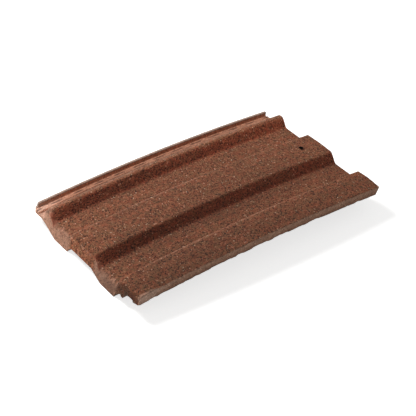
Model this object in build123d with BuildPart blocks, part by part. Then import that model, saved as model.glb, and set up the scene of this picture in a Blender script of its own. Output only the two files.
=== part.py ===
from build123d import *
import math
import os

# Interlocking concrete roof tile with two pans and flat rolls, cast in one piece, in millimetres.
# It lies face up as it rests on a level floor: on the lower edge of its tail and on its two nibs.
# X runs across from the underlock to the overlock, and Y runs from the tail up to the head.

# Size on the roof
length = 381.0
cover_width = 200.0
side_lap = 27.0
camber = 7.0

# Section, where heights count from the top of the pans
pan_wall = 13.0
roll_height = 10.0
roll_crown = 0.7
hollow_height = 5.6
pan_left = 47.5
lock_room = 17.5
left_flank = 2.8
right_flank = 13.0
seat_margin = 6.0
foot_left_run = 20.5
foot_right_run = 5.5

# Underlock, the edge that the next tile covers
rib_width = 3.8
rib_height = 1.0
channel_left = 5.0
channel_width = 2.4
channel_depth = 3.4
shelf_depth = 2.4
shelf_groove = 10.4
shelf_groove_size = 1.2
trough_left = 14.5
trough_depth = 4.4
wall_left = 26.4
underlock_bottom = 7.4

# Overlock, the edge that covers the next tile's underlock
play = 1.2
downstand_width = 4.2
downstand_bottom = 9.4
notch_height = 7.8
notch_width = 2.2
lip_droop = 0.7
lip_draft = 0.6

# Both ends are cut by a knife that leans over the tile, so the tail's lower edge leads
knife_angle = math.radians(17)

# The nose, where the tail's lower edge is thickened to bear on the tile below
nose_depth = 4.8
nose_fill = 2.8
nose_length = 12.0
nose_left = 18.0
nose_right = 189.5
nose_flank_shift = 1.0

# Nibs that hang the tile on its batten, and the nail hole above the batten
nib_drop = 11.0
nib_width = 27.0
nib_length = 11.0
nib_gap = 0.6
nib_taper = 7.0
nib_round = 2.0
nail_diameter = 6.0
nail_across = 108.0
nail_from_head = 31.5

# Weather bars across the hollows near the tail
bar_stations = (16.0, 46.0)
bar_length = 6.0
bar_draft = 1.2
bar_clearance = 1.4

# Rounding of the section's corners
left_crest_round = 4.5
right_crest_round = 6.0
crown_round = 60.0
foot_left_round = 8.0
foot_right_round = 4.0
edge_round = 1.5
hollow_round = 3.5
small_round = 0.7

width = cover_width + side_lap
roll_pitch = cover_width / 2
pan_right = roll_pitch - lock_room
lift = nib_drop - nose_depth
chord = math.hypot(length, lift)
lie_angle = math.asin(lift / chord)
bow_radius = chord**2 / (8 * camber) + camber / 2
half_sweep = math.asin(chord / 2 / bow_radius)
axis_y = length / 2 + math.sin(lie_angle) * (bow_radius - camber)
axis_z = (nib_drop + nose_depth) / 2 - math.cos(lie_angle) * (bow_radius - camber)
bend_axis = Axis((0, axis_y, axis_z), (-1, 0, 0))

# The sweep starts where the knife meets the tail and ends where it meets the rolls' top at the head
nose_radius = bow_radius - nose_depth
nose_reach = (pan_wall + nose_depth) * math.tan(knife_angle) / nose_radius
tail_lean = math.asin(axis_y / nose_radius) - lie_angle - nose_reach
top_rise = roll_height + roll_crown
top_radius = bow_radius + pan_wall + top_rise
head_reach = math.asin((length - axis_y) / top_radius)
head_lean = math.asin(top_rise * math.tan(knife_angle) / top_radius) - head_reach - lie_angle


def station(lean, tilt=0.0):
    """The plane across the tile at an angle from the tile's middle, positive towards the tail.

    Its origin is on top of the pans, its x axis runs across the tile, and its y axis points
    away from the centre of the camber, leaned towards the head by the tilt.
    """
    angle = lie_angle + lean
    out = bow_radius + pan_wall
    origin = (0, axis_y - out * math.sin(angle), axis_z + out * math.cos(angle))
    up = angle - tilt
    return Plane(origin=origin, x_dir=(1, 0, 0), z_dir=(0, -math.cos(up), -math.sin(up)))


def lengthwise(lean, across):
    """The upright plane along the tile at a distance across it, with its origin at a station."""
    angle = lie_angle + lean
    origin = station(lean).from_local_coords((across, 0, 0))
    return Plane(origin=origin, x_dir=(0, math.cos(angle), math.sin(angle)), z_dir=(1, 0, 0))


def lean_at(distance):
    """The angle of the station whose pans' underside lies this far from the tail."""
    return half_sweep - distance / bow_radius


def top_corners():
    """Corners of the upper face from the outer rib to the overlock's edge, each with its rounding."""
    crest = roll_height
    channel_right = channel_left + channel_width
    shelf = -shelf_depth
    corners = [
        ((0, rib_height), small_round),
        ((rib_width, rib_height), small_round),
        ((channel_left, -channel_depth), small_round),
        ((channel_right, -channel_depth), small_round),
        ((channel_right + small_round, shelf), small_round / 2),
        ((trough_left, shelf), small_round),
        ((trough_left + small_round, -trough_depth), small_round),
        ((wall_left, -trough_depth), small_round),
        ((wall_left + small_round, crest - roll_crown), edge_round),
        ((pan_left - right_flank, crest), right_crest_round),
    ]
    for pan in range(2):
        start = pan * roll_pitch
        next_crest = start + pan_right + left_flank
        corners += [
            ((start + pan_left, 0), foot_left_round),
            ((start + pan_right, 0), foot_right_round),
            ((next_crest, crest), left_crest_round),
        ]
        if pan == 0:
            corners += [
                ((next_crest / 2 + (pan_left + roll_pitch - right_flank) / 2, crest + roll_crown), crown_round),
                ((pan_left + roll_pitch - right_flank, crest), right_crest_round),
            ]
    corners += [
        ((width - (width - roll_pitch - pan_right) / 2, crest + roll_crown), crown_round),
        ((width, crest - lip_droop), edge_round),
    ]
    return corners


def overlock_corners():
    """Corners of the overlock's underside, which clears the next tile's underlock by the play."""
    tongue_left = cover_width + channel_left + small_round
    tongue_right = cover_width + channel_left + channel_width - small_round
    lip_left = cover_width + trough_left + small_round + play
    roof = rib_height + play
    ledge = -shelf_depth + play
    lip = -trough_depth + play
    downstand_right = cover_width - play
    downstand_left = downstand_right - downstand_width
    return [
        ((width - lip_draft, lip), small_round),
        ((lip_left, lip), small_round),
        ((lip_left - small_round, ledge), small_round),
        ((tongue_right, ledge), small_round / 2),
        ((tongue_right, -channel_depth + play), small_round / 2),
        ((tongue_left, -channel_depth + play), small_round / 2),
        ((tongue_left - small_round, roof), small_round),
        ((downstand_right, roof), small_round),
        ((downstand_right, -downstand_bottom), small_round),
        ((downstand_left, -downstand_bottom), small_round),
        ((downstand_left - notch_width / 2, -notch_height), small_round),
        ((downstand_left - notch_width, -notch_height), small_round),
    ]


def underside_corners():
    """Corners of the underside from the overlock back to the outer rib."""
    roof = hollow_height - pan_wall
    corners = []
    for pan in (1, 0):
        start = pan * roll_pitch
        foot_right = start + pan_right
        foot_left = start + pan_left + seat_margin
        corners += [((foot_right, -pan_wall), small_round), ((foot_left, -pan_wall), hollow_round)]
        corners += [((foot_left - foot_left_run, roof), hollow_round)]
        if pan == 1:
            corners += [((pan_right + foot_right_run, roof), small_round)]
    corners += [((rib_width, -underlock_bottom), small_round), ((0, -underlock_bottom + play), small_round)]
    return corners


def nose_corners():
    """Corners of the nose, from its root inside the wall round the deeper underside."""
    roof = hollow_height - pan_wall - nose_fill
    root = (roof - trough_depth) / 2 + play
    corners = [(nose_left, root)]
    for pan in range(2):
        start = pan * roll_pitch
        foot_left = start + pan_left + seat_margin
        corners += [(foot_left - foot_left_run - nose_flank_shift / 2, roof)]
        corners += [(foot_left + nose_flank_shift, -pan_wall - nose_depth)]
        corners += [(start + pan_right, -pan_wall - nose_depth)]
        if pan == 0:
            corners += [(pan_right + foot_right_run, roof)]
    corners += [(nose_right, -notch_height - play), (nose_right, root)]
    return corners


def on_knife_plane(point):
    """A point of the upright section, moved up or down into the knife's leaning plane."""
    return (point[0], point[1] / math.cos(knife_angle))


corners = top_corners() + overlock_corners() + underside_corners()
outline = [on_knife_plane(point) for point, rounding in corners]
roundings = [rounding for point, rounding in corners]
nose_outline = [on_knife_plane(point) for point in nose_corners()]
bar_roof = hollow_height - pan_wall
bar_bottom = bar_clearance - pan_wall

with BuildPart() as tile:
    # The section in the knife's plane at the tail, swept round the camber to the head
    with BuildSketch(station(tail_lean, knife_angle)) as section:
        with BuildLine():
            FilletPolyline(*outline, radius=roundings, close=True)
        make_face()
        with Locations(on_knife_plane((shelf_groove, -shelf_depth))):
            Rectangle(shelf_groove_size, shelf_groove_size, rotation=45, mode=Mode.SUBTRACT)
    revolve(axis=bend_axis, revolution_arc=math.degrees(tail_lean - head_lean))

    # The nose under the tail, as deep as the tail's face is seen to be
    with BuildSketch(station(tail_lean, knife_angle)) as nose:
        with BuildLine():
            FilletPolyline(*nose_outline, radius=small_round, close=True)
        make_face()
    revolve(axis=bend_axis, revolution_arc=math.degrees(nose_length / bow_radius))

    # Weather bars that close the hollows under the first and second rolls, with drafted sides
    for distance in bar_stations:
        for pan in range(2):
            left = max((pan - 1) * roll_pitch + pan_right + foot_right_run / 2, rib_width * 2)
            right = pan * roll_pitch + pan_left + seat_margin - foot_left_run / 4
            with BuildSketch(lengthwise(lean_at(distance), left)):
                with BuildLine():
                    Polyline(
                        (-bar_length / 2 - bar_draft, bar_roof + small_round),
                        (bar_length / 2 + bar_draft, bar_roof + small_round),
                        (bar_length / 2, bar_bottom),
                        (-bar_length / 2, bar_bottom),
                        close=True,
                    )
                make_face()
            extrude(amount=right - left)

    # Two nibs under the pans, with flat feet on the floor
    nib_middle_x = (pan_left + seat_margin + pan_right) / 2 + roll_pitch / 2
    underside_lean = head_lean + pan_wall * math.tan(knife_angle) / bow_radius
    head_underside = axis_y - bow_radius * math.sin(lie_angle + underside_lean)
    nib_middle_y = head_underside - nib_gap - nib_length / 2
    with BuildSketch(Plane.XY) as feet:
        with Locations((nib_middle_x, nib_middle_y)):
            with GridLocations(roll_pitch, 0, 2, 1):
                RectangleRounded(nib_width, nib_length, nib_round)
    extrude(amount=nib_drop + pan_wall / 2, taper=-nib_taper)

    # The nail hole, square to the face
    nail_station = station(lean_at(length - nail_from_head))
    nail_plane = Plane(origin=nail_station.from_local_coords((nail_across, 0, 0)), z_dir=nail_station.y_dir)
    with Locations(nail_plane):
        Hole(radius=nail_diameter / 2)

# The origin goes under the middle of the tile, on the floor that it lies on
box = tile.part.bounding_box()
shift = Location((-box.center().X, -box.center().Y, -box.min.Z))
roof_tile = tile.part.moved(shift)
roof_tile.label = "roof_tile"

os.makedirs("parts", exist_ok=True)
export_step(roof_tile, "parts/roof_tile.step")
print("solids", len(tile.part.solids()), "volume", tile.part.volume, "box", box)
hole = shift * Location(nail_plane)
print("nail hole", hole)
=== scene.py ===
import math

import bpy
import numpy as np
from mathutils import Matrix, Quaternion, Vector
from mathutils.geometry import delaunay_2d_cdt


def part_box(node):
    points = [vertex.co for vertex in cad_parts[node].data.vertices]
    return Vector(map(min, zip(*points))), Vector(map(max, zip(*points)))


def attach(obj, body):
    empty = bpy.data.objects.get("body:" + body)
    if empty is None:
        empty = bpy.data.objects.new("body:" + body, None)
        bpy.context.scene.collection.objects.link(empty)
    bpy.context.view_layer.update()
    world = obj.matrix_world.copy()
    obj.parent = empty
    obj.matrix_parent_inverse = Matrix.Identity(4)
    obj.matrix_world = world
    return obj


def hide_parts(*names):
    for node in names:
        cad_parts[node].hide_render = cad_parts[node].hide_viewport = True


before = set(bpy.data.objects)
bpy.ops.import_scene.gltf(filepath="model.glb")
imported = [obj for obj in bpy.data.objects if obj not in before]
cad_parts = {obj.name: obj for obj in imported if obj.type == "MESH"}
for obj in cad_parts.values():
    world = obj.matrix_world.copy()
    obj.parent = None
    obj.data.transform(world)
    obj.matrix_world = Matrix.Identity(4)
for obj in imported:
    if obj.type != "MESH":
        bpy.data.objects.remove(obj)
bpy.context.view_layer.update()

# A cast concrete roof tile with two pans and flat rolls, in one piece. The tile's own sizes are in
# millimetres, and heights in its section count from the top of the pans, as in the CAD. The loop
# of the section's points is carried along rows from the tail to the head, and forms and finishes
# are worked out on that grid. Meshes are in metres.
MM = 0.001

# Size on the roof
LENGTH = 381.0
COVER_WIDTH = 200.0
SIDE_LAP = 27.0
WIDTH = COVER_WIDTH + SIDE_LAP
CAMBER = 7.0

# Section
PAN_WALL = 13.0
ROLL_HEIGHT = 10.0
ROLL_CROWN = 0.7
HOLLOW_HEIGHT = 5.6
PAN_LEFT = 47.5
LOCK_ROOM = 17.5
LEFT_FLANK = 2.8
RIGHT_FLANK = 13.0
SEAT_MARGIN = 6.0
FOOT_LEFT_RUN = 20.5
FOOT_RIGHT_RUN = 5.5

# Underlock and overlock
RIB_WIDTH = 3.8
RIB_HEIGHT = 1.0
CHANNEL_LEFT = 5.0
CHANNEL_WIDTH = 2.4
CHANNEL_DEPTH = 3.4
SHELF_DEPTH = 2.4
GROOVE = 10.4
GROOVE_HALF = 0.85
TROUGH_LEFT = 14.5
TROUGH_DEPTH = 4.4
WALL_LEFT = 26.4
UNDERLOCK_BOTTOM = 7.4
PLAY = 1.2
DOWNSTAND_WIDTH = 4.2
DOWNSTAND_BOTTOM = 9.4
NOTCH_HEIGHT = 7.8
NOTCH_WIDTH = 2.2
LIP_DROOP = 0.7
LIP_DRAFT = 0.6

# Knife-cut ends, nose, nibs, bars and nail hole
KNIFE = math.radians(17)
NOSE_DEPTH = 4.8
NOSE_FILL = 2.8
NOSE_LENGTH = 12.0
NOSE_STEP = 0.35
NOSE_LEFT = 18.0
NOSE_RIGHT = 189.5
NOSE_SHIFT = 1.0
NIB_DROP = 11.0
NIB_WIDTH = 27.0
NIB_LENGTH = 11.0
NIB_GAP = 0.6
NIB_TAPER = math.radians(7)
NIB_ROUND = 2.0
NAIL_RADIUS = 3.0
NAIL_ACROSS = 108.0
NAIL_FROM_HEAD = 31.5
NAIL_ROOM = 12.0
BAR_STATIONS = (16.0, 46.0)
BAR_LENGTH = 6.0
BAR_DRAFT = 1.2
BAR_CLEARANCE = 1.4

# Rounding of the section's corners
LEFT_CREST_ROUND = 4.5
RIGHT_CREST_ROUND = 6.0
CROWN_ROUND = 60.0
FOOT_LEFT_ROUND = 8.0
FOOT_RIGHT_ROUND = 4.0
EDGE_ROUND = 1.5
HOLLOW_ROUND = 3.5
SMALL_ROUND = 0.7

# Rounding at the cut ends: the weathered face at the tail and at the head, the underside and the
# locks. The middle of a right flank keeps a share of its height, fading over a reach on each side.
TAIL_ROUND = 4.5
HEAD_ROUND = 0.9
UNDER_EDGE = 0.5
LOCK_EDGE = 0.22
FLANK_KEEPS = 0.7
FLANK_REACH = 5.5

# The groove's deeper runs, how far they wander over how many millimetres, and the groove's depth
# between them as a share of the full one
RUN_PITCH = 31.0
RUN_START = 53.0
RUN_WANDER = 0.3
WANDER_LENGTH = 14.612
SHALLOW_GROOVE = 0.35

# Wear at the tail: the rib's end has slumped, and the corners of the lip and the underlock are gone
RIB_STOPS = (2.6, 4.6)
RIB_RAGGED = 0.5
RIB_UNDER_SHELF = 0.6
LIP_CORNER_RISE = 1.7
LIP_CORNER_REACH = 4.5
WORN_DEPTH = 4.0
WORN_ACROSS = 8.0
WORN_ALONG = 9.0

# Spacing of the mesh: the weathered face, the locks, the underside, under the nail hole, the rows
# along the tile and the lattice over the cut ends, with its jitter and its room at the outline
FACE_STEP = 1.45
LOCK_STEP = 1.3
UNDER_STEP = 3.0
NAIL_STEP = 1.6
ROW_STEP = 1.6
LEAST_ROW_STEP = 0.05
CUT_STEP = 1.9
CUT_JITTER = 0.45
CUT_ROOM = 0.8

# Odd factors that scramble the smooth noise's lattice: three for the axes, one for the seed, one for all
AXIS_FACTORS = (73856093, 19349663, 83492791)
SEED_FACTOR = 40503
LAST_FACTOR = 1274126177

PITCH = COVER_WIDTH / 2
PAN_RIGHT = PITCH - LOCK_ROOM
PAN_LEFTS = (PAN_LEFT, PAN_LEFT + PITCH)
LEFT_CRESTS = (PAN_RIGHT + LEFT_FLANK, PAN_RIGHT + LEFT_FLANK + PITCH)
NIB_MIDDLE = (PAN_LEFT + SEAT_MARGIN + PAN_RIGHT) / 2
LIFT = NIB_DROP - NOSE_DEPTH
CHORD = math.hypot(LENGTH, LIFT)
LIE = math.asin(LIFT / CHORD)
BOW = CHORD**2 / (8 * CAMBER) + CAMBER / 2
HALF_SWEEP = math.asin(CHORD / 2 / BOW)
AXIS_Y = LENGTH / 2 + math.sin(LIE) * (BOW - CAMBER)
AXIS_Z = (NIB_DROP + NOSE_DEPTH) / 2 - math.cos(LIE) * (BOW - CAMBER)
NOSE_RADIUS = BOW - NOSE_DEPTH
NOSE_REACH = (PAN_WALL + NOSE_DEPTH) * math.tan(KNIFE) / NOSE_RADIUS
TAIL_LEAN = math.asin(AXIS_Y / NOSE_RADIUS) - LIE - NOSE_REACH
TOP_RISE = ROLL_HEIGHT + ROLL_CROWN
TOP_RADIUS = BOW + PAN_WALL + TOP_RISE
HEAD_REACH = math.asin((LENGTH - AXIS_Y) / TOP_RADIUS)
HEAD_LEAN = math.asin(TOP_RISE * math.tan(KNIFE) / TOP_RADIUS) - HEAD_REACH - LIE

# The CAD keeps its origin under the middle of the box
box_low, box_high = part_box("roof_tile")
SHIFT = np.array([(box_low.x + box_high.x) / 2 / MM - WIDTH / 2, -LENGTH / 2, 0.0])


def section_point(x, z, lean, tilt=KNIFE):
    """Where a section's point lies in the tile, for a station at an angle from the tile's middle.

    The station's origin is on the camber's arc, its height leans towards the head by the tilt:
    y = axis - out sin(a) - v sin(a - tilt), z = axis + out cos(a) + v cos(a - tilt), v = z / cos(tilt).
    """
    angle = LIE + lean
    out = BOW + PAN_WALL
    v = z / math.cos(tilt)
    y = AXIS_Y - out * np.sin(angle) - v * np.sin(angle - tilt)
    up = AXIS_Z + out * np.cos(angle) + v * np.cos(angle - tilt)
    return np.stack(np.broadcast_arrays(x, y, up), -1)


def top_corners():
    """Corners of the upper face from the outer rib to the overlock's edge, with their roundings."""
    channel_right = CHANNEL_LEFT + CHANNEL_WIDTH
    shelf = -SHELF_DEPTH
    corners = [
        (0, RIB_HEIGHT, SMALL_ROUND),
        (RIB_WIDTH, RIB_HEIGHT, SMALL_ROUND),
        (CHANNEL_LEFT, -CHANNEL_DEPTH, SMALL_ROUND),
        (channel_right, -CHANNEL_DEPTH, SMALL_ROUND),
        (channel_right + SMALL_ROUND, shelf, SMALL_ROUND / 2),
        (GROOVE - GROOVE_HALF, shelf, 0),
        (GROOVE, shelf, 0),
        (GROOVE + GROOVE_HALF, shelf, 0),
        (TROUGH_LEFT, shelf, SMALL_ROUND),
        (TROUGH_LEFT + SMALL_ROUND, -TROUGH_DEPTH, SMALL_ROUND),
        (WALL_LEFT, -TROUGH_DEPTH, SMALL_ROUND),
        (WALL_LEFT + SMALL_ROUND, ROLL_HEIGHT - ROLL_CROWN, EDGE_ROUND),
        (PAN_LEFT - RIGHT_FLANK, ROLL_HEIGHT, RIGHT_CREST_ROUND),
    ]
    for pan in range(2):
        start = pan * PITCH
        crest = start + PAN_RIGHT + LEFT_FLANK
        corners += [
            (start + PAN_LEFT, 0, FOOT_LEFT_ROUND),
            (start + PAN_RIGHT, 0, FOOT_RIGHT_ROUND),
            (crest, ROLL_HEIGHT, LEFT_CREST_ROUND),
        ]
        if pan == 0:
            fall = PAN_LEFT + PITCH - RIGHT_FLANK
            corners += [
                ((crest + fall) / 2, ROLL_HEIGHT + ROLL_CROWN, CROWN_ROUND),
                (fall, ROLL_HEIGHT, RIGHT_CREST_ROUND),
            ]
    crown = WIDTH - (WIDTH - PITCH - PAN_RIGHT) / 2
    corners += [
        (crown, ROLL_HEIGHT + ROLL_CROWN, CROWN_ROUND),
        (WIDTH, ROLL_HEIGHT - LIP_DROOP, EDGE_ROUND),
    ]
    return corners


def overlock_corners():
    """Corners of the overlock's underside, with their roundings."""
    tongue_left = COVER_WIDTH + CHANNEL_LEFT + SMALL_ROUND
    tongue_right = COVER_WIDTH + CHANNEL_LEFT + CHANNEL_WIDTH - SMALL_ROUND
    lip_left = COVER_WIDTH + TROUGH_LEFT + SMALL_ROUND + PLAY
    roof = RIB_HEIGHT + PLAY
    ledge = -SHELF_DEPTH + PLAY
    lip = -TROUGH_DEPTH + PLAY
    stand_right = COVER_WIDTH - PLAY
    stand_left = stand_right - DOWNSTAND_WIDTH
    return [
        (WIDTH - LIP_DRAFT, lip, SMALL_ROUND),
        (lip_left, lip, SMALL_ROUND),
        (lip_left - SMALL_ROUND, ledge, SMALL_ROUND),
        (tongue_right, ledge, SMALL_ROUND / 2),
        (tongue_right, -CHANNEL_DEPTH + PLAY, SMALL_ROUND / 2),
        (tongue_left, -CHANNEL_DEPTH + PLAY, SMALL_ROUND / 2),
        (tongue_left - SMALL_ROUND, roof, SMALL_ROUND),
        (stand_right, roof, SMALL_ROUND),
        (stand_right, -DOWNSTAND_BOTTOM, SMALL_ROUND),
        (stand_left, -DOWNSTAND_BOTTOM, SMALL_ROUND),
        (stand_left - NOTCH_WIDTH / 2, -NOTCH_HEIGHT, SMALL_ROUND),
        (stand_left - NOTCH_WIDTH, -NOTCH_HEIGHT, SMALL_ROUND),
    ]


def underside_corners():
    """Corners of the underside back to the outer rib, with their roundings.

    Extra points stand at the nibs' sides and where the nail passes.
    """
    roof = HOLLOW_HEIGHT - PAN_WALL
    corners = []
    for pan in (1, 0):
        start = pan * PITCH
        foot_left = start + PAN_LEFT + SEAT_MARGIN
        middle = start + NIB_MIDDLE
        corners += [
            (start + PAN_RIGHT, -PAN_WALL, SMALL_ROUND),
            (middle + NIB_WIDTH / 2, -PAN_WALL, 0),
            (middle + NIB_WIDTH / 2 - 1, -PAN_WALL, 0),
            (middle - NIB_WIDTH / 2 + 1, -PAN_WALL, 0),
            (foot_left, -PAN_WALL, HOLLOW_ROUND),
            (foot_left - FOOT_LEFT_RUN, roof, HOLLOW_ROUND),
        ]
        if pan == 1:
            corners += [(NAIL_ACROSS + NAIL_ROOM, roof, 0), (NAIL_ACROSS - NAIL_ROOM, roof, 0)]
            corners += [(PAN_RIGHT + FOOT_RIGHT_RUN, roof, SMALL_ROUND)]
    corners += [(RIB_WIDTH, -UNDERLOCK_BOTTOM, SMALL_ROUND), (0, -UNDERLOCK_BOTTOM + PLAY, SMALL_ROUND)]
    return corners


def rounded_loop(corners, steps, arc_step=0.8):
    """A closed loop of points with every corner turned on its radius.

    The arc at a corner that turns by t begins and ends r tan(t / 2) from it, and its centre lies
    r / cos(t / 2) from it. The straight after a corner is divided evenly to that corner's step.
    Returns the points and, for each, the number of the corner that it belongs to.
    """
    at = np.array([c[:2] for c in corners], float)
    radius = np.array([c[2] for c in corners], float)
    before = at - np.roll(at, 1, 0)
    after = np.roll(at, -1, 0) - at
    u = before / np.linalg.norm(before, axis=1)[:, None]
    v = after / np.linalg.norm(after, axis=1)[:, None]
    turn = np.arctan2(u[:, 0] * v[:, 1] - u[:, 1] * v[:, 0], (u * v).sum(1))
    cut = radius * np.tan(np.abs(turn) / 2)
    start, end = at - u * cut[:, None], at + v * cut[:, None]
    points, owner = [], []
    for k in range(len(at)):
        if cut[k] > 1e-6:
            side = np.sign(turn[k]) * np.array([-u[k, 1], u[k, 0]])
            centre = start[k] + side * radius[k]
            count = max(2, int(math.ceil(radius[k] * abs(turn[k]) / arc_step)))
            swing = np.linspace(0, turn[k], count + 1)
            arm = start[k] - centre
            across = arm[0] * np.cos(swing) - arm[1] * np.sin(swing)
            up = arm[0] * np.sin(swing) + arm[1] * np.cos(swing)
            arc = centre + np.stack([across, up], 1)
        else:
            arc = at[k : k + 1]
        following = start[(k + 1) % len(at)]
        count = max(1, int(round(np.linalg.norm(following - end[k]) / steps[k])))
        share = np.arange(1, count)[:, None] / count
        straight = end[k] + (following - end[k]) * share
        points += [arc, straight]
        owner += [np.full(len(arc) + len(straight), k)]
    return np.concatenate(points), np.concatenate(owner)


def lumps(points, size, seed):
    """Smooth noise from -1 to 1, with lumps of a size in millimetres.

    Seeded values on a cubic lattice are blended between a point's eight corners by 3t2 - 2t3.
    """
    cell = points / size
    base = np.floor(cell).astype(np.int64)
    t = cell - base
    t = t * t * (3 - 2 * t)
    total = np.zeros(len(points))
    for corner in np.ndindex(2, 2, 2):
        key = (base + np.array(corner)) * np.array(AXIS_FACTORS)
        mixed = key[:, 0] ^ key[:, 1] ^ key[:, 2] ^ seed * SEED_FACTOR
        mixed = (mixed ^ (mixed >> 13)) * LAST_FACTOR
        value = ((mixed >> 8) & 0xFFFF) / 32767.5 - 1
        total += value * np.where(np.array(corner), t, 1 - t).prod(1)
    return total


def smooth(low_edge, high_edge, value):
    """0 below the first edge, 1 above the second and a smooth step between them."""
    t = np.clip((value - low_edge) / (high_edge - low_edge), 0, 1)
    return t * t * (3 - 2 * t)


def near(place, spread, value):
    """1 at a place and less on both sides of it: exp(-((value - place) / spread)^2)."""
    return np.exp(-(((value - place) / spread) ** 2))


def from_table(table, value):
    """A share read from a table of places and shares, on straight lines between them."""
    places, shares = zip(*table)
    return np.interp(value, places, shares)


def nose_depth_at(x):
    """Height of the nose's underside at a distance across the tile, in the section's heights."""
    roof = HOLLOW_HEIGHT - PAN_WALL - NOSE_FILL
    root = (roof - TROUGH_DEPTH) / 2 + PLAY
    xs, zs = [NOSE_LEFT], [root]
    for pan in range(2):
        start = pan * PITCH
        foot_left = start + PAN_LEFT + SEAT_MARGIN
        xs += [foot_left - FOOT_LEFT_RUN - NOSE_SHIFT / 2, foot_left + NOSE_SHIFT, start + PAN_RIGHT]
        zs += [roof, -PAN_WALL - NOSE_DEPTH, -PAN_WALL - NOSE_DEPTH]
        if pan == 0:
            xs += [PAN_RIGHT + FOOT_RIGHT_RUN]
            zs += [roof]
    xs += [NOSE_RIGHT]
    zs += [-NOTCH_HEIGHT - PLAY]
    return np.interp(x, xs, zs, left=0, right=0)


def row_under(y):
    """The row, along the camber, whose pans' underside is at a distance from the tail."""
    lean = math.asin((AXIS_Y - y) / BOW) - LIE
    return (TAIL_LEAN - (lean - PAN_WALL * math.tan(KNIFE) / BOW)) * BOW


def rounding_drop(distance, radius):
    """How far a rounded edge lies under the sharp one, at a distance d from the end.

    It is r - sqrt(r^2 - (r - d)^2) up to the radius, and 0 beyond it.
    """
    short = np.clip(radius - distance, 0, radius)
    return radius - np.sqrt(radius**2 - short**2)


def worn_corner(x, row):
    """How far the underlock's corner is worn back: the full depth at the tail's outer edge, then less."""
    return WORN_DEPTH * (1 - smooth(0, WORN_ACROSS, x)) * (1 - smooth(0, WORN_ALONG, row))


# The section's loop runs clockwise seen from the tail: face, overlock, underside
face, lock, under = top_corners(), overlock_corners(), underside_corners()
steps = [FACE_STEP] * len(face) + [LOCK_STEP] * len(lock) + [UNDER_STEP] * len(under)
nail_corner = under.index((NAIL_ACROSS + NAIL_ROOM, HOLLOW_HEIGHT - PAN_WALL, 0))
steps[len(face) + len(lock) + nail_corner] = NAIL_STEP
loop, owner = rounded_loop(face + lock + under, steps)
loop_x, loop_z = loop[:, 0], loop[:, 1]
on_face = owner < len(face)
on_under = owner >= len(face) + len(lock)

# The inward normal of the loop, for the rounding of the cut ends
along = np.roll(loop, -1, 0) - np.roll(loop, 1, 0)
inward = np.stack([along[:, 1], -along[:, 0]], 1) / np.linalg.norm(along, axis=1)[:, None]

# Rows along the tile, counted from the tail along the camber, closer together at both ends and
# set on the edges of the nose and the nibs
SWEEP = (TAIL_LEAN - HEAD_LEAN) * BOW
UNDER_HEAD_LEAN = HEAD_LEAN + PAN_WALL * math.tan(KNIFE) / BOW
HEAD_UNDERSIDE = AXIS_Y - BOW * math.sin(LIE + UNDER_HEAD_LEAN)
NIB_Y = HEAD_UNDERSIDE - NIB_GAP - NIB_LENGTH / 2
end_rows = TAIL_ROUND * (1 - np.cos(np.radians([0, 15, 28, 41, 53, 66, 78, 90])))
marks = [NOSE_LENGTH, NOSE_LENGTH + NOSE_STEP]
for reach in (NIB_LENGTH / 2, NIB_LENGTH / 2 + NIB_DROP * math.tan(NIB_TAPER)):
    marks += [row_under(NIB_Y - reach), row_under(min(NIB_Y + reach, HEAD_UNDERSIDE - 0.1))]
even = np.linspace(TAIL_ROUND, SWEEP - TAIL_ROUND, int((SWEEP - 2 * TAIL_ROUND) / ROW_STEP))
rows = np.unique(np.round(np.concatenate([end_rows, even, SWEEP - end_rows, marks]), 4))
rows = rows[np.concatenate([[True], np.diff(rows) > LEAST_ROW_STEP])]
rows[-1] = SWEEP

# The locks' and the underside's edges are barely rounded at the cut ends
edge_round = np.where(on_under, UNDER_EDGE, LOCK_EDGE)
from_end = np.minimum(rows, SWEEP - rows)[:, None]
inset = rounding_drop(from_end, edge_round[None])

# The weathered face's edge turns down in an upright curve, less on the roll's wall, the rib and the
# lip's side, and less in the middle of the rolls' right flanks
lip_bottom = PLAY - TROUGH_DEPTH
wall_share = np.clip((loop_z + SHELF_DEPTH) / (ROLL_HEIGHT - ROLL_CROWN + SHELF_DEPTH), 0, 1)
lip_share = np.clip((loop_z - lip_bottom) / (ROLL_HEIGHT - LIP_DROOP - lip_bottom), 0, 1)
turn_share = np.where(loop_x < WALL_LEFT + 2, wall_share, np.where(loop_x > WIDTH - 2, lip_share, 1))
turn_share = turn_share * on_face
for foot in PAN_LEFTS:
    from_middle = (loop_x - foot + RIGHT_FLANK / 2) / FLANK_REACH
    turn_share = turn_share * (1 - FLANK_KEEPS * np.exp(-(from_middle**4)))
turned = rounding_drop(rows[:, None], TAIL_ROUND) + rounding_drop(SWEEP - rows[:, None], HEAD_ROUND)

# The groove on the shelf is pressed deeper in runs: a sine of their pitch, made uneven by a second one
row_grid, x_grid = np.meshgrid(rows, loop_x, indexing="ij")
z_grid = np.broadcast_to(loop_z, row_grid.shape).copy()
groove = on_face & (np.abs(loop_x - GROOVE) < 1e-6)
run_wave = np.sin((rows - RUN_START) * 2 * math.pi / RUN_PITCH)
run_wave += RUN_WANDER * np.sin(rows * 2 * math.pi / WANDER_LENGTH)
deep_run = smooth(-0.25, 0.15, run_wave)
z_grid[:, groove] -= GROOVE_HALF * (SHALLOW_GROOVE + (1 - SHALLOW_GROOVE) * deep_run)[:, None]

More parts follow.
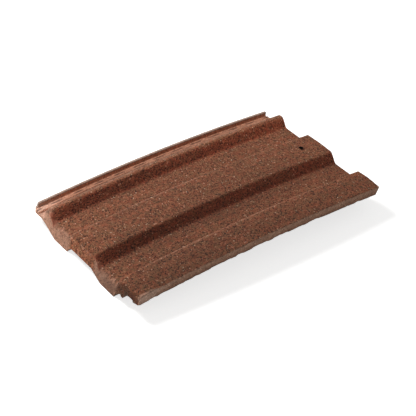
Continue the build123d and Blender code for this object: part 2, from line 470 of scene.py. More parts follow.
# The rib stops a little short of the tail, where the wet mix has slumped. Its outer side is the
# stretch after the loop's last corner.
rib_foot = PLAY - UNDERLOCK_BOTTOM
rib_side = ((loop_x < CHANNEL_LEFT - 0.4) & on_face) | (owner == owner.max())
stump = (-SHELF_DEPTH - RIB_UNDER_SHELF - rib_foot) / (RIB_HEIGHT - rib_foot)
slumped = 1 - smooth(*RIB_STOPS, rows + RIB_RAGGED * np.sin(7 * rows))
squash = 1 - (1 - stump) * slumped[:, None] * rib_side
z_grid = np.where(z_grid > rib_foot, rib_foot + (z_grid - rib_foot) * squash, z_grid)

# The nose, the rounded ends and the lip's corner, which is raised at the tail
nosed = (row_grid <= NOSE_LENGTH + 0.01) & on_under
z_grid = np.where(nosed, np.minimum(z_grid, nose_depth_at(x_grid)), z_grid)
x_in = x_grid + inward[:, 0] * inset
z_in = z_grid + inward[:, 1] * inset - turn_share * turned
lip_corner = smooth(WIDTH - 11, WIDTH - 1, x_grid) * (1 - smooth(0.5, 5, z_grid - lip_bottom))
z_in = z_in + lip_corner * LIP_CORNER_RISE * (1 - smooth(0, LIP_CORNER_REACH, row_grid))
leans = TAIL_LEAN - rows / BOW
grid = section_point(x_in, z_in, leans[:, None])
grid[..., 1] += worn_corner(x_grid, row_grid)

# Weather bars: the hollow's roof moved towards the camber's centre between two drafted sides
angle = np.arctan2(AXIS_Y - grid[..., 1], grid[..., 2] - AXIS_Z)
station = (HALF_SWEEP + LIE - angle) * BOW
bar = np.zeros(station.shape)
for middle in BAR_STATIONS:
    away = np.abs(station - middle)
    bar = np.maximum(bar, 1 - smooth(BAR_LENGTH / 2, BAR_LENGTH / 2 + BAR_DRAFT, away))
for pan in range(2):
    left = max((pan - 1) * PITCH + PAN_RIGHT + FOOT_RIGHT_RUN / 2, RIB_WIDTH * 2)
    right = pan * PITCH + PAN_LEFT + SEAT_MARGIN - FOOT_LEFT_RUN / 4
    hit = on_under & (x_grid >= left) & (x_grid <= right)
    drop = np.where(hit, np.maximum(z_grid - (BAR_CLEARANCE - PAN_WALL), 0) * bar, 0)
    grid[..., 1] += drop * np.sin(angle)
    grid[..., 2] -= drop * np.cos(angle)

# Nibs: the underside brought down to the floor inside two drafted, rounded rectangles
for pan in range(2):
    dx = np.abs(grid[..., 0] - NIB_MIDDLE - pan * PITCH) - (NIB_WIDTH / 2 - NIB_ROUND)
    dy = np.abs(grid[..., 1] - NIB_Y) - (NIB_LENGTH / 2 - NIB_ROUND)
    beyond = np.hypot(np.maximum(dx, 0), np.maximum(dy, 0))
    outside = beyond + np.minimum(np.maximum(dx, dy), 0) - NIB_ROUND
    foot = np.clip(1 - outside / (NIB_DROP * math.tan(NIB_TAPER)), 0, 1) * on_under
    grid[..., 2] *= 1 - foot

row_count, loop_count = row_grid.shape
vertices = grid.reshape(-1, 3)
number = np.arange(len(vertices)).reshape(row_count, loop_count)


def patch(chosen, goal, half):
    """Rows and columns of the square of cells round the grid point that is nearest to a goal in plan."""
    flat = np.linalg.norm(grid[:, chosen, :2] - np.array(goal), axis=2)
    row, column = np.unravel_index(flat.argmin(), flat.shape)
    column = np.flatnonzero(chosen)[column]
    return row - half, row + half, column - half, column + half


def patch_border(row_low, row_high, left, right):
    """The border of a square of cells, once round, from its first row and first column."""
    return np.concatenate(
        [
            number[row_low, left:right],
            number[row_low:row_high, right],
            number[row_high, left + 1 : right + 1][::-1],
            number[row_low + 1 : row_high + 1, left][::-1],
        ]
    )


# The nail hole, square to the face: a ring of cells leads from a square of the grid to the round bore
nail_lean = HALF_SWEEP - (LENGTH - NAIL_FROM_HEAD) / BOW
nail_top = section_point(NAIL_ACROSS, TOP_RISE, np.array(nail_lean), tilt=0.0)
nail_low = section_point(NAIL_ACROSS, HOLLOW_HEIGHT - PAN_WALL, np.array(nail_lean), tilt=0.0)
HALF_PATCH = 4
below_nail = on_under & (np.abs(loop_x - NAIL_ACROSS) < NAIL_ROOM)
upper = patch(on_face, nail_top[:2], HALF_PATCH)
lower = patch(below_nail, nail_low[:2], HALF_PATCH)
upper_border = patch_border(*upper)
# On the underside columns run from right to left, so its border is read from the other corner backwards
lower_border = patch_border(*lower)
other_corner = np.flatnonzero(lower_border == number[lower[0], lower[3]])[0]
lower_border = np.roll(lower_border, -other_corner)
lower_border = np.roll(lower_border[::-1], 1)
around = np.arange(len(upper_border)) * 2 * math.pi / len(upper_border) - math.pi * 3 / 4
bore_axis = (nail_top - nail_low) / np.linalg.norm(nail_top - nail_low)
side = np.array([1.0, 0.0, 0.0])
ahead = np.cross(bore_axis, side)


def bore_ring(radius, share, depth=0.0):
    """A circle about the bore's axis at a share of the way down it, moved down by a depth."""
    centre = nail_top + (nail_low - nail_top) * share - bore_axis * depth
    return centre + radius * (np.cos(around)[:, None] * side + np.sin(around)[:, None] * ahead)


# Rings from the square above in to the mouth, down the bore and out to the square below. The mouth
# and the outlet are a little wider than the bore.
FUNNEL = (0.35, 0.7)
mouth = bore_ring(NAIL_RADIUS + 0.5, 0.0, 0.05)
outlet = bore_ring(NAIL_RADIUS + 0.3, 1.0, -0.05)
rings = [vertices[upper_border] * (1 - t) + mouth * t for t in FUNNEL] + [mouth]
rings += [bore_ring(NAIL_RADIUS, 0.0, 0.5)]
rings += [bore_ring(NAIL_RADIUS, t) for t in (0.2, 0.4, 0.6, 0.8, 0.97)]
rings += [outlet] + [outlet * (1 - t) + vertices[lower_border] * t for t in FUNNEL]
ring_numbers = [upper_border]
for ring in rings:
    ring_numbers.append(len(vertices) + np.arange(len(ring)))
    vertices = np.concatenate([vertices, ring])
ring_numbers = np.array(ring_numbers + [lower_border])
bore_start = len(FUNNEL) + 2

# Faces: the sweep without the two squares, then the rings
first, after = number[:-1], number[1:]
cells = np.stack([first, np.roll(first, -1, 1), np.roll(after, -1, 1), after], -1)
keep = np.ones(cells.shape[:2], bool)
keep[upper[0] : upper[1], upper[2] : upper[3]] = False
keep[lower[0] : lower[1], lower[2] : lower[3]] = False
a, b = ring_numbers[:-1], ring_numbers[1:]
ring_quads = np.stack([a, np.roll(a, -1, 1), np.roll(b, -1, 1), b], -1).reshape(-1, 4)
quads = np.concatenate([cells[keep], ring_quads])


def cut_end(row, first_number, seed):
    """A cut end's own points, numbered from a first number, and its triangles.

    The loop is laid flat on its section, a jittered lattice is set inside it, and both are joined
    by the triangles that keep every circle through three corners empty.
    """
    outline = np.stack([x_in[row], z_in[row]], 1)
    rng = np.random.default_rng(seed)
    xs, zs = np.meshgrid(np.arange(1.0, WIDTH, CUT_STEP), np.arange(-19.0, 12.0, CUT_STEP))
    jitter = rng.uniform(-CUT_JITTER, CUT_JITTER, (xs.size, 2))
    inner = np.stack([xs.ravel(), zs.ravel()], 1) + jitter
    # A point counts as inside when a line from it crosses the outline an odd number of times
    p, q = outline, np.roll(outline, -1, 0)
    rise = (p[:, 1] > inner[:, 1:2]) != (q[:, 1] > inner[:, 1:2])
    slope = (q[:, 0] - p[:, 0]) / np.where(q[:, 1] == p[:, 1], 1e-9, q[:, 1] - p[:, 1])
    crossing = p[:, 0] + (inner[:, 1:2] - p[:, 1]) * slope
    inside = (rise & (inner[:, 0:1] < crossing)).sum(1) % 2 == 1
    clear = np.linalg.norm(inner[:, None] - outline[None], axis=2).min(1) > CUT_ROOM
    inner = inner[inside & clear]
    flat = [Vector(v) for v in np.concatenate([outline, inner])]
    _, _, tris, origin, _, _ = delaunay_2d_cdt(flat, [], [list(range(len(outline)))], 1, 1e-7)
    lookup = np.concatenate([number[row], first_number + np.arange(len(inner))])
    added = section_point(inner[:, 0], inner[:, 1], leans[row])
    added[:, 1] += worn_corner(inner[:, 0], rows[row])
    back = np.array([lookup[o[0]] for o in origin])
    return added, back[np.array(tris)]


tail_start = len(vertices)
tail_points, tail_tris = cut_end(0, tail_start, seed=11)
head_start = tail_start + len(tail_points)
head_points, head_tris = cut_end(row_count - 1, head_start, seed=12)
head_tris = head_tris[:, ::-1]
vertices = np.concatenate([vertices, tail_points, head_points])

# Where each vertex lies, for the zones of the surface that the material and the relief follow. The
# nail hole's rings and the points inside the head's cut count as half way along.
count = len(vertices)
swept = row_count * loop_count
extra = count - swept
height = np.concatenate([z_grid.ravel(), np.zeros(extra)])
zone_x = np.concatenate([x_grid.ravel(), vertices[swept:, 0]])
from_tail = np.concatenate([row_grid.ravel(), np.full(extra, SWEEP / 2)])
from_tail[tail_start:head_start] = 0
from_head = SWEEP - from_tail
is_face = np.zeros(count, bool)
is_face[:swept] = np.broadcast_to(on_face, row_grid.shape).ravel()
is_face[ring_numbers[1:bore_start].ravel()] = True
is_cut = np.zeros(count)
is_cut[tail_start:] = 1
is_cut[number[0]] = 1
is_cut[number[-1]] = 1
in_tail_cut = (is_cut > 0) & (from_tail < 1)
on_side = smooth(-1.1, -0.2, zone_x - WIDTH - 0.1) * is_face
uneven = lumps(vertices, size=6.0, seed=21) + 0.6 * lumps(vertices, size=2.2, seed=22)

# Rolls two and three keep their grains down over the tail, while the pans end in smooth slurry
second_roll = smooth(PAN_RIGHT - 2.5, PAN_RIGHT + 5.5, zone_x)
second_roll *= 1 - smooth(PAN_LEFTS[1] - 14.5, PAN_LEFTS[1] - 1.5, zone_x)
roll_end = second_roll + smooth(PITCH + PAN_RIGHT - 2.5, PITCH + PAN_RIGHT + 7.5, zone_x)
fade_in = 0.4 + 0.6 * smooth(-1.5, 8.0, from_tail + 3.0 * uneven)
fade_in = fade_in * (1 - roll_end) + roll_end

# How thickly the grains lie: smeared thin beside the roll's wall, and none on the underlock, along
# the lip and on the cuts but for the tail's
smeared = 0.45 + 0.55 * smooth(WALL_LEFT + 1, WALL_LEFT + 7, zone_x + 1.5 * uneven)
grained = fade_in * smeared * smooth(0.0, 1.5, from_head)
granules = np.where(is_face & (zone_x > WALL_LEFT), grained, 0.0)
granules[tail_start:] = 0
tail_grains = np.maximum(roll_end * smooth(-1.6, -0.4, uneven), 0.25 * smooth(25, 50, zone_x))
granules = np.where(in_tail_cut, tail_grains, granules)
bare_lip = np.maximum(1.1, 4.0 * (1 - smooth(12, 34, from_tail + 5 * uneven)))
granules *= 1 - smooth(0, 1, (zone_x - (WIDTH - bare_lip)) / 1.1) * ~in_tail_cut

# The underlock's bare slurry, and where it and the lip's side are pale with cement dust
shelf = np.where(is_face & (zone_x <= WALL_LEFT + 0.5), 1.0, 0.0)
tail_fade = 1 - smooth(0, 75, from_tail)
on_rib = zone_x < RIB_WIDTH + 0.6
pale = np.where(on_rib & is_face, 1.0, 0.0)
pale = np.maximum(pale, 0.55 * tail_fade**2 * shelf)
pale = np.maximum(pale, on_side * 0.5 * (1 - smooth(10, 50, from_tail + 8 * uneven)))

# How light the surface is beside its material's own colour, painted light and shade included. Tables hold
# a place and a share.
# Across the face: a painted shadow of roll 2 on pan 2's left side, a painted highlight on roll 3's left
# crest and painted shade towards the overlock's edge
FACE_TONE_AND_LIGHT_ACROSS = [
    (WALL_LEFT, 1.3),
    (WALL_LEFT + 6, 1.25),
    (36, 1.3),
    (50, 1.03),
    (135, 1.0),
    (147, 0.8),
    (152, 0.81),
    (165, 0.93),
    (180, 0.94),
    (187, 1.12),
    (196, 0.93),
    (WIDTH, 0.9),
]
FACE_TONE_ALONG = [(0, 1.15), (11, 1.1), (46, 0.91), (190, 0.89), (267, 0.94), (343, 1.0)]
CUT_TONE_ACROSS = [
    (0, 1.5),
    (30, 1.45),
    (60, 1.25),
    (120, 1.05),
    (150, 0.86),
    (185, 0.82),
    (205, 0.6),
    (WIDTH, 0.58),
]
tone = from_table(FACE_TONE_AND_LIGHT_ACROSS, zone_x) * from_table(FACE_TONE_ALONG, from_tail)
tone *= 1 - 0.13 * smooth(182, 192, zone_x) * (1 - smooth(70, 200, from_tail))

# Slurry is drawn out along the rolls' left crests in streaks, which thin the grains; there the face is
# also painted lighter, a painted highlight on the crests' lit edges
crest_streak_and_highlight = np.zeros(count)
broken = smooth(-0.5, 0.4, lumps(vertices * (1, 0.5, 1), size=9.0, seed=23))
for crest in LEFT_CRESTS:
    crest_streak_and_highlight += near(crest + 1.6, 2.2, zone_x) * broken
crest_streak_and_highlight *= is_face * (1 - 0.5 * smooth(150, 330, from_tail))
# Painted highlight: the rolls' left crests are made lighter here
tone *= 1 + 0.16 * crest_streak_and_highlight
granules *= 1 - 0.25 * crest_streak_and_highlight

# The shelf is lighter near both ends. Painted light lifts the channel, and the trough's wall at the tail,
# out of their shade, and painted shade darkens the rib's foot and the groove's deep runs
CHANNEL_RIGHT = CHANNEL_LEFT + CHANNEL_WIDTH
in_channel = 1 - smooth(CHANNEL_RIGHT, CHANNEL_RIGHT + 2, zone_x)
trough_wall = near(TROUGH_LEFT + 0.5, 0.9, zone_x)
shelf_tone_and_light = 0.88 + 0.7 * tail_fade + 0.12 * (1 - smooth(0, 90, from_head))
# Painted light in the channel and on the trough's wall at the tail
shelf_tone_and_light *= 1 + (0.85 - 0.65 * tail_fade) * in_channel + 0.5 * trough_wall * tail_fade
# Painted shadow of the rib at its foot
shelf_tone_and_light *= 1 - 0.35 * near(RIB_WIDTH + 0.8, 0.9, zone_x)
# Painted shade in the groove's deep runs
shelf_tone_and_light *= 1 - 0.8 * near(GROOVE, 0.8, zone_x) * np.interp(from_tail, rows, deep_run)
shelf_tone_and_light = np.where(on_rib, 0.95 + 0.1 * tail_fade, shelf_tone_and_light)
tone = np.where(shelf > 0, shelf_tone_and_light, tone)

# The cut ends are lighter towards the underlock. The lip's side is painted light, standing in for light
# on a side that the lamps leave in shade, with dark spots and a dark line along its lower edge.
cut_tone = from_table(CUT_TONE_ACROSS, zone_x)
tone = np.where(is_cut > 0, cut_tone * (1 + 0.75 * granules * (zone_x < 160)), tone)
tone = np.where(is_face | (is_cut > 0), tone, 1.0)
above_lip = height - lip_bottom
# Painted light: the lip's side is made twice as light
side_tone_and_light = 2.0 * (1 - 0.7 * (1 - smooth(0.3, 2.4, above_lip + 0.7 * uneven)))
spots = smooth(0.0, 0.5, lumps(vertices, size=4.2, seed=24))
side_tone_and_light *= 1 - 0.45 * (1 - smooth(1.0, 2.4, above_lip)) * spots
tone = tone * (1 - on_side) + side_tone_and_light * on_side

# The rolls' right flanks are painted redder, a painted red tint of their shade, and painted lighter
# towards both ends
FLANK_LIGHT_AT_HEAD = (1.6, 1.35)
flank = np.zeros(count)
for foot, at_head in zip(PAN_LEFTS, FLANK_LIGHT_AT_HEAD):
    crest = foot - RIGHT_FLANK
    this_flank = smooth(crest - 1.5, crest + 3.5, zone_x) * (1 - smooth(foot - 1.0, foot + 3.5, zone_x))
    this_flank = this_flank * is_face
    flank_light = from_table([(0, 1.2), (20, 1.06), (120, 1.06), (SWEEP, at_head)], from_tail)
    # Painted light on the flanks towards both ends
    tone *= 1 + this_flank * (flank_light - 1)
    flank = np.maximum(flank, this_flank)

# The bore is painted nearly black, painted shade down the narrow hole
tone[ring_numbers[bore_start:-bore_start].ravel()] = 0.08

# The face's edge at the tail has the pinkish slurry of the cut, and so have the streaks
pinkish = is_face * (1 - on_side) * (1 - smooth(9, 16, from_tail)) * smooth(30, 40, zone_x)
cut = np.clip(is_cut + pinkish + crest_streak_and_highlight, 0, 1)

# Normals: the sum of the triangles' own round each vertex
normal = np.zeros((count, 3))
triangles = np.concatenate([quads[:, [0, 1, 2]], quads[:, [0, 2, 3]], tail_tris, head_tris])
p, q, r = (vertices[triangles[:, k]] for k in range(3))
cross = np.cross(q - p, r - p)
for k in range(3):
    for axis in range(3):
        normal[:, axis] += np.bincount(triangles[:, k], cross[:, axis], count)
normal /= np.maximum(np.linalg.norm(normal, axis=1), 1e-9)[:, None]

# Relief along the normal, in millimetres: grains on the weathered face and softer lumps elsewhere,
# all set inwards so that nothing stands past the CAD's size
grain = np.random.default_rng(4).uniform(-1, 1, count)
wavy = 0.12 * lumps(vertices, size=4.0, seed=1) + 0.10 * lumps(vertices, size=14.0, seed=2)
relief = granules * (0.13 * grain + wavy - 0.35)
# Pits where the face is coarse: towards the overlock, and on the rolls' ends at the tail
coarse = smooth(145, 195, zone_x) * (1 - 0.35 * smooth(15, 60, from_tail))
coarse = granules * np.maximum(coarse, 0.8 * roll_end * (1 - smooth(6, 26, from_tail)))
relief -= coarse * 0.6 * smooth(0.1, 0.7, lumps(vertices, size=3.2, seed=3))
relief += (1 - granules) * (0.05 * grain + 0.08 * lumps(vertices, size=5.0, seed=5) - 0.14)
relief += shelf * (0.14 * grain - 0.14) * smooth(RIB_WIDTH, CHANNEL_LEFT + 3, zone_x)
# The lip's lower edge is ragged, where the slurry ran under the mould
lip_edge = smooth(WIDTH - 4, WIDTH - 1, zone_x) * (1 - smooth(0.2, 2.2, above_lip)) * (is_cut == 0)
ragged = 0.6 * smooth(-0.1, 0.7, lumps(vertices, size=3.4, seed=6))
ragged += 1.3 * smooth(-0.1, 0.5, lumps(vertices, size=8.0, seed=7))
vertices = vertices + normal * relief[:, None]
vertices[:, 2] += lip_edge * 0.9 * ragged

# The piece in metres, a micrometre inside the CAD's box, with what lies by the floor put on it
MARGIN = 1e-6
FLOOR_REACH = 0.02
finished = (vertices + SHIFT) * MM
finished = np.clip(finished, np.array(box_low) + MARGIN, np.array(box_high) - MARGIN)
finished[:, 2] = np.where(vertices[:, 2] < FLOOR_REACH, 0.0, finished[:, 2])


def add_mesh(name, points, faces):
    """A mesh object at the origin from points in metres and a list of arrays of faces."""
    mesh = bpy.data.meshes.new(name)
    sizes = np.concatenate([np.full(len(f), f.shape[1]) for f in faces])
    starts = np.concatenate([[0], np.cumsum(sizes)[:-1]])
    corners = np.concatenate([f.ravel() for f in faces])
    mesh.vertices.add(len(points))
    mesh.vertices.foreach_set("co", points.astype(np.float32).ravel())
    mesh.loops.add(len(corners))
    mesh.loops.foreach_set("vertex_index", corners.astype(np.int32))
    mesh.polygons.add(len(sizes))
    mesh.polygons.foreach_set("loop_start", starts.astype(np.int32))
    mesh.polygons.foreach_set("use_smooth", np.ones(len(sizes), bool))
    mesh.update(calc_edges=True)
    mesh.validate()
    made = bpy.data.objects.new(name, mesh)
    bpy.context.scene.collection.objects.link(made)
    return made


# The tile, with one number for each vertex and zone, which the material reads by name
zones = {"granules": granules, "shelf": shelf, "pale": pale, "cut": cut, "tone": tone, "flank": flank}
tile = add_mesh("cast_tile", finished, [quads, tail_tris, head_tris])
for zone_name, values in zones.items():
    attribute = tile.data.attributes.new(zone_name, "FLOAT", "POINT")
    attribute.data.foreach_set("value", values.astype(np.float32))
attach(tile, "root")
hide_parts("roof_tile")


def linear(colour):
    """A hex colour as Blender's linear red, green, blue and alpha.

    Each part c from 0 to 1 becomes c / 12.92 up to 0.04045, and ((c + 0.055) / 1.055)^2.4 above it.
    """
    srgb = np.array([int(colour[k : k + 2], 16) / 255 for k in (1, 3, 5)])
    flat = np.where(srgb <= 0.04045, srgb / 12.92, ((srgb + 0.055) / 1.055) ** 2.4)
    return (*flat.tolist(), 1.0)


def add_node(tree, kind, feeds=None, stops=None, **settings):
    """A node with its settings, its sockets' values or the sockets that feed them, and its stops.

    Stops are a ramp's places, each with a hex colour or with a number for a grey.
    """
    made = tree.nodes.new(kind)
    for key, value in settings.items():
        setattr(made, key, value)
    for key, value in (feeds or {}).items():
        if isinstance(value, bpy.types.NodeSocket):
            tree.links.new(value, made.inputs[key])
        else:
            made.inputs[key].default_value = value
    if stops:
        elements = made.color_ramp.elements
        while len(elements) < len(stops):
            elements.new(1.0)
        for element, (place, colour) in zip(elements, stops):
            element.position = place
            element.color = linear(colour) if isinstance(colour, str) else (colour, colour, colour, 1.0)
    return made


# Sizes of the concrete's patterns in millimetres: its sand grains, the clouds of its slurry, the
# streaks drawn out by the casting machine, the blotches of its pigment, the marbling of bare
# cement and the finest grit
GRAIN_SIZE = 1.35
SLURRY_SIZE = 9.0
STREAK_WIDTH = 6.25
STREAK_LENGTH = 500 / 3
BLOTCH_SIZE = 7.0
MARBLING_SIZE = 5.0
GRIT_SIZE = 1.1

# Colours of the sand's grains, each from its share of the grains upwards
GRAIN_COLOURS = [
    (0.0, "#1c0f0a"),
    (0.09, "#4a2b1f"),
    (0.24, "#704b33"),
    (0.40, "#7e4833"),
    (0.62, "#8b563d"),
    (0.84, "#965c42"),
    (0.94, "#a8735a"),
    (0.985, "#c49c84"),
]
# How light a fleck is where grains only show through the cement, for the same picks
FLECK_TONES = [(0.0, 0.5), (0.1, 0.78), (0.28, 0.98), (0.8, 1.12), (0.95, 1.4)]
# How much slurry lies over the grains, and how strongly flecks show
SLURRY_SHARE = 0.18
FLECK_SHARE = 0.85
# The slurry's two ends, the blotches' faint red and green, and the painted red shade tint that deepens
# the flanks
SLURRY_COLOURS = [(0.3, "#6d432f"), (0.7, "#855139")]
STREAK_TONES = [(0.3, 0.86), (0.7, 1.12)]
BLOTCH_TINTS = [(0.38, "#fff3ee"), (0.62, "#f2fffa")]
FLANK_SHADE_TINT = "#eccbc5"
# Marbled cement: plain on the underside and the lip's side, pinkish on the cuts and the streaks,
# salmon on the shelf and dusty on the rib
PLAIN_CEMENT = [(0.25, "#745749"), (0.55, "#8d6d5b"), (0.8, "#a48470")]
PINK_CEMENT = [(0.25, "#99705b"), (0.55, "#b48872"), (0.8, "#c69d86")]
SALMON_CEMENT = [(0.25, "#8f604a"), (0.55, "#ad775d"), (0.8, "#c8937a")]
DUSTY_CEMENT = [(0.25, "#947869"), (0.6, "#af9586"), (0.85, "#c4afa1")]


def make_sand_faced_concrete():
    """Cast concrete with dry coloured sand rolled into its wet face.

    Iron-oxide pigment in the cement gives the red brown, and the sand gives grains of about 1 to
    2 mm, some nearly black and a few pale. Layers are mixed over each other by the zones' shares,
    and tints multiply what is under them.
    """
    material = bpy.data.materials.new("sand_faced_concrete")
    material.use_nodes = True
    tree = material.node_tree
    tree.nodes.clear()
    layer = {"kind": "ShaderNodeMix", "data_type": "RGBA"}
    tint = {"kind": "ShaderNodeMix", "data_type": "RGBA", "blend_type": "MULTIPLY"}
    ramp, noise = "ShaderNodeValToRGB", "ShaderNodeTexNoise"
    zone = {}
    for name in zones:
        zone[name] = add_node(tree, "ShaderNodeAttribute", attribute_name=name).outputs["Fac"]
    place = add_node(tree, "ShaderNodeTexCoord").outputs["Object"]
    in_mm = {"Vector": place, "Scale": (1 / MM, 1 / MM, 1 / MM)}
    millimetres = add_node(tree, "ShaderNodeMapping", in_mm).outputs[0]

    # The weathered face: grains in a little slurry, streaked lengthwise and faintly blotched
    grains = add_node(tree, "ShaderNodeTexVoronoi", {"Vector": millimetres, "Scale": 1 / GRAIN_SIZE})
    pick = add_node(tree, "ShaderNodeSeparateColor", {0: grains.outputs["Color"]}).outputs["Red"]
    grain_ramp = add_node(tree, ramp, {0: pick}, GRAIN_COLOURS)
    grain_ramp.color_ramp.interpolation = "CONSTANT"
    clouds = {"Vector": millimetres, "Scale": 1 / SLURRY_SIZE, "Detail": 4.0, "Roughness": 0.6}
    slurry_noise = add_node(tree, noise, clouds).outputs["Fac"]
    slurry = add_node(tree, ramp, {0: slurry_noise}, SLURRY_COLOURS).outputs[0]
    streak_scale = (1 / STREAK_WIDTH, 1 / STREAK_LENGTH, 1 / STREAK_WIDTH)
    lengthwise = {"Vector": millimetres, "Scale": streak_scale}
    streak_place = add_node(tree, "ShaderNodeMapping", lengthwise).outputs[0]
    streaks = add_node(tree, noise, {"Vector": streak_place, "Scale": 1.0, "Detail": 3.0}).outputs["Fac"]
    streak_tint = add_node(tree, ramp, {0: streaks}, STREAK_TONES).outputs[0]
    spread = {"Vector": millimetres, "Scale": 1 / BLOTCH_SIZE, "Detail": 2.0}
    blotches = add_node(tree, noise, spread).outputs["Fac"]
    blotch_tint = add_node(tree, ramp, {0: blotches}, BLOTCH_TINTS).outputs[0]
    over_grains = {0: SLURRY_SHARE, 6: grain_ramp.outputs[0], 7: slurry}
    weathered = add_node(tree, feeds=over_grains, **layer).outputs[2]
    for face_tint in (streak_tint, blotch_tint):
        weathered = add_node(tree, feeds={0: 1.0, 6: weathered, 7: face_tint}, **tint).outputs[2]

    # Bare cement, its colour by zone, flecked where grains show through it
    marbling = {"Vector": millimetres, "Scale": 1 / MARBLING_SIZE, "Detail": 5.0, "Roughness": 0.65}
    marbled = add_node(tree, noise, marbling).outputs["Fac"]
    colour = add_node(tree, ramp, {0: marbled}, PLAIN_CEMENT).outputs[0]
    for name, stops in (("cut", PINK_CEMENT), ("shelf", SALMON_CEMENT), ("pale", DUSTY_CEMENT)):
        cement = add_node(tree, ramp, {0: marbled}, stops).outputs[0]
        colour = add_node(tree, feeds={0: zone[name], 6: colour, 7: cement}, **layer).outputs[2]
    fleck_ramp = add_node(tree, ramp, {0: pick}, FLECK_TONES)
    fleck_ramp.color_ramp.interpolation = "CONSTANT"
    flecked = add_node(tree, feeds={0: 1.0, 6: colour, 7: fleck_ramp.outputs[0]}, **tint).outputs[2]
    colour = add_node(tree, feeds={0: FLECK_SHARE, 6: colour, 7: flecked}, **layer).outputs[2]

    # The face over the cement, with a painted red shade tint on the flanks, and all of it as light as its
    # zone's tone, painted light and shade included
    colour = add_node(tree, feeds={0: zone["granules"], 6: colour, 7: weathered}, **layer).outputs[2]
    # Painted red shade tint on the flanks
    shade_reddened = add_node(tree, feeds={0: 1.0, 6: colour, 7: linear(FLANK_SHADE_TINT)}, **tint).outputs[2]
    colour = add_node(tree, feeds={0: zone["flank"], 6: colour, 7: shade_reddened}, **layer).outputs[2]
    colour = add_node(tree, feeds={0: 1.0, 6: colour, 7: zone["tone"]}, **tint).outputs[2]

    # Fine relief of half a millimetre: round grains on the face and grit on the bare cement
    round_top = [(0.0, 1.0), (0.75, 0.0)]
    grain_height = add_node(tree, ramp, {0: grains.outputs["Distance"]}, round_top).outputs[0]
    grit = {"Vector": millimetres, "Scale": 1 / GRIT_SIZE, "Detail": 3.0}
    fine = add_node(tree, noise, grit).outputs["Fac"]
    rough = add_node(tree, feeds={0: zone["granules"], 6: fine, 7: grain_height}, **layer).outputs[2]
    relief_feeds = {"Height": rough, "Strength": 0.7, "Distance": 0.5 * MM}
    bump = add_node(tree, "ShaderNodeBump", relief_feeds).outputs[0]
    surface = {"Base Color": colour, "Normal": bump, "Roughness": 0.9, "IOR": 1.5}
    surface["Specular IOR Level"] = 0.25
    shader = add_node(tree, "ShaderNodeBsdfPrincipled", surface)
    add_node(tree, "ShaderNodeOutputMaterial", {"Surface": shader.outputs[0]})
    return material


tile.data.materials.append(make_sand_faced_concrete())


# How bright the floor glows for the camera, and the even fill beside the white seen past the floor
WHITE = linear("#ffffff")
FLOOR_GLOW = 0.72
FILL = 0.22


def seen_directly(tree):
    """1 for a ray from the camera, off a shine or through glass, and 0 for any other."""
    path = add_node(tree, "ShaderNodeLightPath")
    shine = {0: path.outputs["Is Glossy Ray"], 1: path.outputs["Is Transmission Ray"]}
    either = add_node(tree, "ShaderNodeMath", shine, operation="MAXIMUM").outputs[0]
    all_three = {0: path.outputs["Is Camera Ray"], 1: either}
    return add_node(tree, "ShaderNodeMath", all_three, operation="MAXIMUM").outputs[0]


def make_matt_paper_sweep():
    """Matt pale paper. What the camera sees of it is lifted to the white of a studio's sweep."""
    material = bpy.data.materials.new("matt_paper_sweep")
    material.use_nodes = True
    tree = material.node_tree
    tree.nodes.clear()
    paper = add_node(tree, "ShaderNodeBsdfDiffuse", {"Color": linear("#e8e8e6")}).outputs[0]
    glow = add_node(tree, "ShaderNodeEmission", {"Color": WHITE, "Strength": FLOOR_GLOW}).outputs[0]
    lifted = add_node(tree, "ShaderNodeAddShader", {0: paper, 1: glow}).outputs[0]
    seen = {0: seen_directly(tree), 1: paper, 2: lifted}
    both = add_node(tree, "ShaderNodeMixShader", seen).outputs[0]
    add_node(tree, "ShaderNodeOutputMaterial", {"Surface": both})
    return material


# The floor is plain and reaches past what the camera sees
FLOOR_HALF = 6.0
floor_corners = [(-1, -1, 0), (1, -1, 0), (1, 1, 0), (-1, 1, 0)]
floor = add_mesh("floor", FLOOR_HALF * np.array(floor_corners), [np.array([[0, 1, 2, 3]])])
floor.data.materials.append(make_matt_paper_sweep())


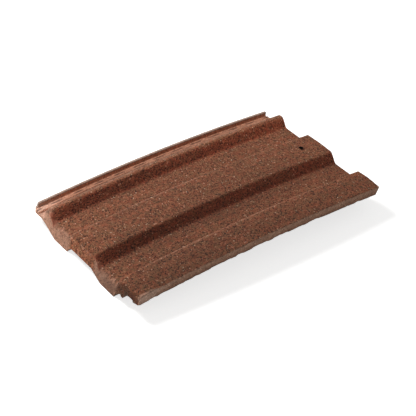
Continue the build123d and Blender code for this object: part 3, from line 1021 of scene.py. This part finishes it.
def make_studio_world():
    """White where the camera looks past the floor, and an even fill for everything else."""
    world = bpy.data.worlds.new("studio")
    world.use_nodes = True
    tree = world.node_tree
    tree.nodes.clear()
    fill = add_node(tree, "ShaderNodeBackground", {"Color": WHITE, "Strength": FILL}).outputs[0]
    white = add_node(tree, "ShaderNodeBackground", {"Color": WHITE, "Strength": 1.0}).outputs[0]
    seen = {0: seen_directly(tree), 1: fill, 2: white}
    sky = add_node(tree, "ShaderNodeMixShader", seen).outputs[0]
    add_node(tree, "ShaderNodeOutputWorld", {"Surface": sky})
    return world


bpy.context.scene.world = make_studio_world()


def add_soft_light(name, direction, distance, size, level):
    """A square soft box that aims at the tile.

    A flat face turned to it gets level times the light at which a colour renders as written:
    power = level pi^2 distance^2.
    """
    lamp = bpy.data.lights.new(name, "AREA")
    lamp.shape = "SQUARE"
    lamp.size = size
    lamp.energy = level * math.pi**2 * distance**2
    made = bpy.data.objects.new(name, lamp)
    aim = Vector(direction).normalized()
    made.location = aim * distance
    made.rotation_mode = "QUATERNION"
    made.rotation_quaternion = aim.to_track_quat("Z", "Y")
    bpy.context.scene.collection.objects.link(made)


# The key stands high on the underlock's side, so the rolls' right flanks fall into shade
add_soft_light("key_softbox", direction=(-0.66, -0.2, 0.70), distance=1.2, size=0.47, level=1.1)

# The camera, fitted to the photograph's outline: a 113 mm lens on a 36 mm sensor, rolled by 4 degrees
CAMERA_PLACE = (1.01309, -0.84707, 1.0068)
CAMERA_FORWARD = (-0.61102, 0.51199, -0.60376)
CAMERA_ROLL = math.radians(3.95)
LENS = 112.95
SENSOR = 36.0
lens = bpy.data.cameras.new("camera")
lens.sensor_width = SENSOR
lens.lens = LENS
lens.clip_end = 50.0
camera = bpy.data.objects.new("camera", lens)
camera.location = CAMERA_PLACE
camera.rotation_mode = "QUATERNION"
unrolled = Vector(CAMERA_FORWARD).to_track_quat("-Z", "Y")
camera.rotation_quaternion = unrolled @ Quaternion((0, 0, 1), CAMERA_ROLL)
bpy.context.scene.collection.objects.link(camera)
bpy.context.scene.camera = camera
bpy.context.scene.view_settings.view_transform = "Standard"
